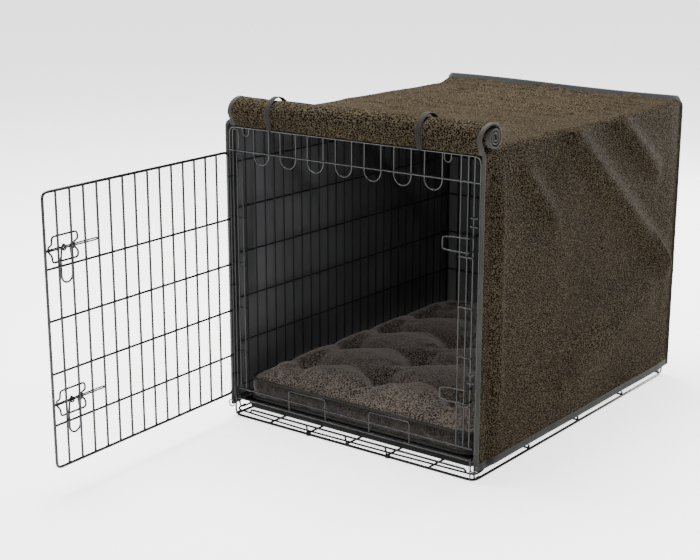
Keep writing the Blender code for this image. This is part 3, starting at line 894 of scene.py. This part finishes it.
def cover_section():
    """(x, z, normal x, normal z) round the inverted U, from the left hem over to the right."""
    stations = []
    rise = COVER_TOP - CORNER - COVER_HEM
    steps = round(rise / CLOTH_STEP)
    for i in range(steps):
        stations.append((-COVER_OUT, COVER_HEM + rise * i / steps, -1.0, 0.0))
    half = COVER_OUT - CORNER
    for i in range(11):
        angle = math.radians(180 - 9 * i)
        nx, nz = math.cos(angle), math.sin(angle)
        stations.append((-half + CORNER * nx, COVER_TOP - CORNER + CORNER * nz, nx, nz))
    across = round(half / CLOTH_STEP)
    for i in range(1, across + 1):
        stations.append((-half + half * i / across, COVER_TOP, 0.0, 1.0))
    return stations + [(-x, z, -nx, nz) for x, z, nx, nz in stations[-2::-1]]


def cover_point(station, y, lift=0.0):
    x, z, nx, nz = station
    stand = nx * nx * side_slack(math.copysign(1.0, x), y, min(z, COVER_TOP - CORNER))
    stand += nz * nz * top_slack(x, y) + lift
    return Vector((x + nx * stand, y, z + nz * stand))


SECTION = cover_section()


def make_cover_shell():
    count = round((COVER_REAR - COVER_FRONT) / CLOTH_STEP)
    rows = [[cover_point(s, y) for s in SECTION] for y in spaced(COVER_FRONT, COVER_REAR, count)]
    shell = thicken(grid_object("cover_shell", rows, (COVER, LINING)), CLOTH)
    place(shell, "cover", "cover_fabric", "cover_top", "cover_left", "cover_right")


def make_cover_rear():
    """The back panel, sewn to the shell all round its arch."""
    edge = [cover_point(s, COVER_REAR) for s in SECTION]
    half = sum(1 for station in SECTION if station[2] < -0.01)
    rows = []
    for a, b in zip(edge[:half], edge[::-1]):
        row = []
        for i in range(BACK_COLUMNS + 1):
            x = a.x + (b.x - a.x) * i / BACK_COLUMNS
            inside = smoothstep(0.0, 0.04, min(x - a.x, b.x - x)) * smoothstep(0.0, 0.05, COVER_TOP - a.z)
            bulge = 0.0018 + 0.0022 * ripple(x, a.z, 0.0, 0.09, 5) + 0.0030 * sag_fold(x, a.z)
            height = a.z + rear_lip(x) * smoothstep(COVER_TOP - 0.03, COVER_TOP, a.z)
            row.append(Vector((x, COVER_REAR + max(0.0, bulge) * inside, height)))
        rows.append(row)
    back = grid_object("cover_back", [row[::-1] for row in rows], (COVER, LINING))
    place(thicken(back, CLOTH), "cover", "cover_fabric", "cover_rear")


def sag_fold(x, z):
    """Two soft drapes that fall from the upper corners of the back panel."""
    left = ridge((x, z), (-0.19, 0.44), (-0.05, 0.20), 0.022)
    return left + ridge((x, z), (0.19, 0.43), (0.08, 0.15), 0.020)


def make_cover_edges():
    """Round piping about the front opening and the rear seam, and a folded tape on the hem."""
    front = [cover_point(s, COVER_FRONT, -0.0012) for s in SECTION]
    rear = [cover_point(s, COVER_REAR, 0.0002) for s in SECTION]
    piping = wires("cover_piping_front", [(front, FRONT_PIPING)], BINDING)
    place(piping, "cover", "charcoal_binding", "cover_piping_left", "cover_piping_right")
    place(wires("cover_piping_rear", [(rear, REAR_PIPING)], BINDING), "cover", "charcoal_binding")
    for name, side in SIDES.items():
        rows = []
        for y in spaced(COVER_FRONT, COVER_REAR, 96):
            x = side * (COVER_OUT + side_slack(side, y, COVER_HEM))
            row = [Vector((x + side * out, y, COVER_HEM + up)) for out, up in HEM_TAPE]
            rows.append(row if side > 0 else row[::-1])
        # The hem tape takes the darker copy of the binding: painted shade along the hem.
        tape = grid_object(f"cover_hem_{name}", rows, (STRAP_TAPE,), closed_rows=True)
        place(tape, "cover", "charcoal_binding")


# ---- rolled front flap

ROLL_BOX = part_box("cover_front_roll")
ROLL_AT = Vector((0.0, -0.2982, 0.4944))
ROLL_RADIUS = 0.0188
ROLL_CLOTH = 0.0021
ROLL_TURNS = 3.2
ROLL_STEPS = 26
ROLL_START = math.radians(196.0)
ROLL_PITCH = 0.0045
ROLL_DRIFT = 0.010
FLAP_BINDING = 0.0060
STRAP_HALF = 0.0052
STRAP_LEAN = 0.0080
STRAP_EDGE = STRAP_HALF - 0.0006
# A strap, seen along it: (across, outwards)
STRAP_SECTION = (
    (-STRAP_HALF, 0.0), (-STRAP_EDGE, 0.0008), (0.0, 0.0010), (STRAP_EDGE, 0.0008),
    (STRAP_HALF, 0.0), (STRAP_EDGE, -0.0007), (0.0, -0.0007), (-STRAP_EDGE, -0.0007),
)
STRAPS = {name: middle(f"roll_strap_{name}", 0) for name in SIDES}


def roll_profile():
    """(y, z) down the flap: up from the cover's front edge, over the top and round into the roll."""
    points = [Vector((-0.3080, 0.4695)), Vector((-0.3094, 0.4765))]
    for step in range(round(ROLL_TURNS * ROLL_STEPS) + 1):
        turned = step / ROLL_STEPS
        angle = ROLL_START - turned * 2 * math.pi
        settled = smoothstep(0.35, 0.80, turned)
        radius = ROLL_RADIUS - 0.0022 * settled - ROLL_PITCH * max(0.0, turned - 0.35)
        shift = 0.0021 * settled
        offset = Vector((math.cos(angle), math.sin(angle))) * max(radius, 0.0028)
        points.append(Vector((ROLL_AT.y + shift, ROLL_AT.z - 0.0006 * settled)) + offset)
    return points


ROLL_PROFILE = roll_profile()


def roll_swell(x, depth):
    """How much fuller or tighter the roll is at x: pinched at the straps, fuller at its left end."""
    pinch = sum(math.exp(-((x - at) / 0.016) ** 2) for at in STRAPS.values())
    loose = 1.0 + 0.030 * ripple(x, depth * 0.01, 0.0, 0.060, 6)
    return loose - 0.055 * pinch + 0.05 * smoothstep(0.17, 0.23, -x)


def roll_skew(index):
    """The flap is rolled a little askew, so its ends drift to the right as it goes round."""
    return ROLL_DRIFT * (smoothstep(0, 12, index) - 1.0)


def roll_point(x, index, out=0.0):
    """A point of the flap, `out` beyond its face; its first rows stay on the cover's front edge."""
    centre = Vector((ROLL_AT.y, ROLL_AT.z))
    arm = ROLL_PROFILE[index] - centre
    free = min(1.0, index / 3)
    arm = arm * roll_swell(x, index) * free + arm * (1.0 - free)
    wrinkle = 0.0005 * ripple(x, index * 0.006, 0.0, 0.018, 8) * free
    arm = arm.normalized() * (arm.length + out + wrinkle)
    over_top = index > 8 and centre.x + arm.x > COVER_FRONT - 0.001
    low = COVER_TOP + 0.0012 if over_top else 0.0
    return Vector((x + roll_skew(index), centre.x + arm.x, max(centre.y + arm.y, low)))


def make_roll():
    start, end = ROLL_BOX[0][0] + 0.0080, ROLL_BOX[1][0] - 0.0010
    across = [start, start + FLAP_BINDING / 2]
    across += spaced(start + FLAP_BINDING, end - FLAP_BINDING, 64) + [end - FLAP_BINDING / 2, end]
    rows = [[roll_point(x, index) for x in across] for index in range(len(ROLL_PROFILE))]
    roll = grid_object("front_flap_roll", rows, (COVER, LINING, BINDING, BINDING))
    last = len(across) - 1
    for number, face in enumerate(roll.data.polygons):
        column = number % last
        if column < 2 or column >= last - 2:
            face.material_index = 2
    thicken(roll, ROLL_CLOTH, rim=2)
    place(roll, "cover", "cover_fabric", "cover_front_roll")
    for side, x in zip(SIDES, (start, end)):
        edge = [roll_point(x, index, -ROLL_CLOTH / 2) for index in range(len(ROLL_PROFILE))]
        binding = wires(f"flap_binding_{side}", [(edge, FLAP_PIPING)], BINDING)
        place(binding, "cover", "charcoal_binding")


def strap_path(x):
    """From the header up the front of the roll, standing clear over it, and down behind."""
    path = [Vector((x, -0.3100, 0.4662)), Vector((x, -0.3122, 0.4770))]
    for step in range(15):
        angle = ROLL_START - math.radians(13.5 * step)
        lifted = 0.0010 + 0.0052 * smoothstep(3, 9, step)
        arm = ROLL_RADIUS * roll_swell(x, 5) + lifted
        path.append(ROLL_AT + Vector((x, arm * math.cos(angle), arm * math.sin(angle))))
    behind = ((0.0225, 0.0085), (0.0205, 0.0030))
    return path + [Vector((x, ROLL_AT.y + back, COVER_TOP + up)) for back, up in behind]


def make_straps():
    for name, x in STRAPS.items():
        path = strap_path(x)
        rows = []
        for index, point in enumerate(path):
            before = path[max(0, index - 1)]
            after = path[min(len(path) - 1, index + 1)]
            along = (after - before).normalized()
            out = along.cross(Vector(X))
            lean = STRAP_LEAN * index / len(path)
            rows.append([point + Vector((lean + wide, 0.0, 0.0)) + out * up for wide, up in STRAP_SECTION])
        strap = grid_object(f"roll_strap_{name}_tape", rows, (STRAP_TAPE,), closed_rows=True)
        cap_ends(strap, len(rows[0]))
        smooth = strap.modifiers.new("smooth", "SUBSURF")
        smooth.levels = smooth.render_levels = 2
        place(bake(strap), "cover", "charcoal_binding", f"roll_strap_{name}")


def cap_ends(piece, width):
    """Closes both ends of a tube made of rings of `width` points."""
    bm = bmesh.new()
    bm.from_mesh(piece.data)
    bm.verts.ensure_lookup_table()
    bm.faces.new([bm.verts[i] for i in range(width)][::-1])
    bm.faces.new([bm.verts[len(bm.verts) - width + i] for i in range(width)])
    bmesh.ops.recalc_face_normals(bm, faces=bm.faces)
    bm.to_mesh(piece.data)
    bm.free()


# ---- mattress

BED_LOW, BED_HIGH = (Vector(corner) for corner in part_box("mattress"))
BED_SEAM = 0.0620
BED_CORNER = 0.022
TUFT_ROWS = 5
TUFT_COLUMNS = 3
TUFT_PITCH = ((BED_HIGH.x - BED_LOW.x) / TUFT_COLUMNS, 0.109)
TUFT_MIDDLE = (BED_LOW + BED_HIGH) / 2
CREASE_ARCH = 0.016
ROW_CREASE = 0.0125
COLUMN_CREASE = 0.0040
TUFT_DEPTH = 0.0130
PUCKER_DEPTH = 0.0060
CROWN = 0.0215
PILLOW = 0.0060
BED_VOXEL = 0.0055
BED_PIPING = 0.0042
SIMULATION_FRAMES = 16
MOST_SWELL = 0.005


def tufts():
    places = []
    for row in range(TUFT_ROWS):
        for column in range(TUFT_COLUMNS):
            wander = 0.004 * ripple(row * 0.31, column * 0.47, 0.0, 0.1, 9)
            x = TUFT_MIDDLE.x + (column - (TUFT_COLUMNS - 1) / 2) * TUFT_PITCH[0] + wander
            y = TUFT_MIDDLE.y + (row - (TUFT_ROWS - 1) / 2) * TUFT_PITCH[1] - wander
            places.append(Vector((x, y)))
    return places


TUFTS = tufts()


def inset_from_edge(x, y):
    """Distance inside the mattress's rounded outline."""
    half = (BED_HIGH - BED_LOW) / 2
    dx = abs(x - TUFT_MIDDLE.x) - (half.x - BED_CORNER)
    dy = abs(y - TUFT_MIDDLE.y) - (half.y - BED_CORNER)
    outside = math.hypot(max(dx, 0.0), max(dy, 0.0)) + min(max(dx, dy), 0.0)
    return BED_CORNER - outside


def bed_height(x, y):
    """Height of the tufted top: full pillows between tufts, drawn down at the tufts."""
    inset = inset_from_edge(x, y)
    edge = smoothstep(-0.006, 0.062, inset)
    u = (x - TUFTS[0].x) / TUFT_PITCH[0]
    v = (y - TUFTS[0].y) / TUFT_PITCH[1]
    pillow = math.sqrt(abs(math.sin(math.pi * u) * math.sin(math.pi * v)))
    nearest = min((Vector((x, y)) - at).length for at in TUFTS)
    arched = v - CREASE_ARCH * math.sin(math.pi * u) ** 2 / TUFT_PITCH[1]
    row_gap = (arched - round(arched)) * TUFT_PITCH[1]
    column_gap = abs(u - round(u)) * TUFT_PITCH[0]
    inner = smoothstep(0.022, 0.066, inset)
    reach = 0.020 if row_gap > 0 else 0.0045
    fold = ROW_CREASE * math.exp(-abs(row_gap) / reach) * (0.50 + 0.50 * math.cos(math.pi * u) ** 2)
    fold += COLUMN_CREASE * math.exp(-column_gap / 0.010) * math.cos(math.pi * v) ** 2
    dimple = TUFT_DEPTH * math.exp(-(nearest / 0.018) ** 2) + PUCKER_DEPTH * math.exp(-nearest / 0.007)
    crown = CROWN * edge + PILLOW * pillow * edge * inner
    return BED_SEAM + crown - (fold + dimple) * inner + 0.0018 * ripple(x, y, 0.0, 0.06, 10) * edge


def bed_blank():
    """A boxed pad with rounded corners, remeshed into small even quads."""
    bm = bmesh.new()
    bmesh.ops.create_cube(bm, size=1.0)
    size = BED_HIGH - BED_LOW
    scale = (size.x - 0.004, size.y - 0.004, BED_SEAM - BED_LOW.z)
    bmesh.ops.scale(bm, vec=scale, verts=bm.verts)
    centre = (TUFT_MIDDLE.x, TUFT_MIDDLE.y, (BED_SEAM + BED_LOW.z) / 2)
    bmesh.ops.translate(bm, vec=centre, verts=bm.verts)
    upright = [e for e in bm.edges if abs(e.verts[0].co.z - e.verts[1].co.z) > 0.01]
    bmesh.ops.bevel(bm, geom=upright, offset=BED_CORNER, segments=6, affect="EDGES", profile=0.5)
    mesh = bpy.data.meshes.new("mattress_pad")
    bm.to_mesh(mesh)
    bm.free()
    pad = link("mattress_pad", mesh, BED_TOP_PAINTED_LIGHT)
    remesh = pad.modifiers.new("even", "REMESH")
    remesh.mode = "VOXEL"
    remesh.voxel_size = BED_VOXEL
    return bake(pad)


def shape_bed(pad):
    """Raises the top to its pillows and lets the border swell between its two seams."""
    for vertex in pad.data.vertices:
        x, y, z = vertex.co
        share = (z - BED_LOW.z) / (BED_SEAM - BED_LOW.z)
        inset = inset_from_edge(x, y)
        if share > 0.97 or (share > 0.5 and inset > 0.008):
            vertex.co.z = bed_height(x, y)
        elif inset < 0.008 and share > 0.03:
            away = Vector((x - TUFT_MIDDLE.x, y - TUFT_MIDDLE.y, 0.0)).normalized()
            vertex.co += away * 0.0016 * math.sin(math.pi * share)


def inflate(pad):
    """A short pressure simulation, held at the tufts, the seams and the base."""
    held = pad.vertex_groups.new(name="held")
    for vertex in pad.data.vertices:
        x, y, z = vertex.co
        nearest = min((Vector((x, y)) - at).length for at in TUFTS)
        at_seam = abs(z - BED_SEAM) < 0.005 and inset_from_edge(x, y) < 0.006
        if z < BED_LOW.z + 0.004 or (nearest < 0.007 and z > BED_SEAM - 0.02) or at_seam:
            held.add([vertex.index], 1.0, "REPLACE")
    before = [vertex.co.copy() for vertex in pad.data.vertices]
    cloth = pad.modifiers.new("cloth", "CLOTH")
    settings = cloth.settings
    settings.quality = 5
    settings.mass = 0.3
    settings.use_pressure = True
    settings.uniform_pressure_force = 3.0
    settings.tension_stiffness = settings.compression_stiffness = 18.0
    settings.bending_stiffness = 0.4
    settings.vertex_group_mass = "held"
    settings.effector_weights.gravity = 0.0
    settings.shrink_min = -0.03
    scene = bpy.context.scene
    for number in range(1, SIMULATION_FRAMES + 1):
        scene.frame_set(number)
    bake(pad)
    scene.frame_set(1)
    for vertex, start in zip(pad.data.vertices, before):
        moved = vertex.co - start
        if moved.length > MOST_SWELL:
            vertex.co = start + moved.normalized() * MOST_SWELL


def crease_bed(pad):
    """Radiating pleats round each tuft and a faint ripple over the top, fading out towards the edge."""
    for vertex in pad.data.vertices:
        x, y, z = vertex.co
        inset = inset_from_edge(x, y)
        if z < BED_SEAM - 0.012:
            continue
        at = min(TUFTS, key=lambda tuft: (Vector((x, y)) - tuft).length)
        arm = Vector((x, y)) - at
        spread = math.exp(-((arm.length - 0.018) / 0.014) ** 2)
        seed = at.x * 31.0 + at.y * 17.0
        pleat = math.cos(7.0 * math.atan2(arm.y, arm.x) + seed) * 0.0009 * spread
        vertex.co.z += pleat + 0.0006 * ripple(x, y, 0.0, 0.016, 12) * smoothstep(0.005, 0.02, inset)
        vertex.co.z = max(vertex.co.z, BED_LOW.z)


def outline(box, inset, height, radius, steps):
    """A rounded rectangle at a height, set in from the sides of a box."""
    low, high = box
    left, right = low[0] + inset, high[0] - inset
    near, far = low[1] + inset, high[1] - inset
    corners = [(left, near, height), (right, near, height), (right, far, height), (left, far, height)]
    return rounded(corners, radius, closed=True, steps=steps)


def make_mattress():
    pad = bed_blank()
    shape_bed(pad)
    inflate(pad)
    crease_bed(pad)
    soften = pad.modifiers.new("soften", "SMOOTH")
    soften.factor = 0.4
    soften.iterations = 1
    fine = pad.modifiers.new("fine", "SUBSURF")
    fine.levels = fine.render_levels = 1
    bake(pad)
    # Faces below the top seam take the darkened copy: painted shade on the border.
    pad.data.materials.append(BED_BORDER_PAINTED_SHADE)
    for face in pad.data.polygons:
        if face.center.z < BED_SEAM - 0.001:
            face.material_index = 1
    place(pad, "mattress", "mattress_fabric", "mattress")
    seams = []
    for inset, height in ((0.0006, BED_SEAM), (0.0002, BED_LOW.z + 0.0018)):
        line = outline((BED_LOW, BED_HIGH), inset, height, BED_CORNER * 1.35, 9)
        seams.append((line, BED_PIPING, True))
    place(wires("mattress_piping", seams, BED_TAPE), "mattress", "mattress_fabric")
    knots = []
    for at in TUFTS:
        z = bed_height(at.x, at.y) + 0.0030
        knots.append((arc((at.x, at.y, z), 0.0022, 0.0, 330.0, X, (0, 0.8, 0.3), 10), 0.0014))
    place(wires("mattress_tufts", knots, BED_TAPE), "mattress", "mattress_fabric")


# ---- tray

TRAY_CORNER = 0.009


def make_tray():
    """A shallow moulded pan: rolled lip, sloped wall, stepped floor with long ribs."""
    low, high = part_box("tray")
    floor, lip = low[2], high[2]
    shape = (
        (0.060, floor), (0.012, floor), (0.0070, floor + 0.0012), (0.0042, lip - 0.0040),
        (0.0006, lip - 0.0034), (0.0, lip - 0.0020), (0.0005, lip - 0.0006), (0.0022, lip),
        (0.0052, lip - 0.0004), (0.0066, lip - 0.0022), (0.0092, floor + 0.0040), (0.0140, floor + 0.0022),
        (0.0300, floor + 0.0022), (0.0330, floor + 0.0034), (0.0600, floor + 0.0034),
    )
    rows = [outline((low, high), inset, z, TRAY_CORNER, 7) for inset, z in shape]
    tray = grid_object("tray_pan", rows, (PLASTIC,), closed_rows=True)
    cap_ends(tray, len(rows[0]))
    place(tray, "tray", "tray_plastic", "tray")
    ribs = []
    for x in spaced(low[0] + 0.075, high[0] - 0.075, 8):
        ends = [(x, low[1] + 0.070, floor + 0.0030), (x, high[1] - 0.070, floor + 0.0030)]
        ribs.append((ends, 0.0050))
    place(wires("tray_ribs", ribs, PLASTIC), "tray", "tray_plastic")


make_mattress()
make_tray()
make_cover_shell()
make_cover_rear()
make_cover_edges()
make_roll()
make_straps()
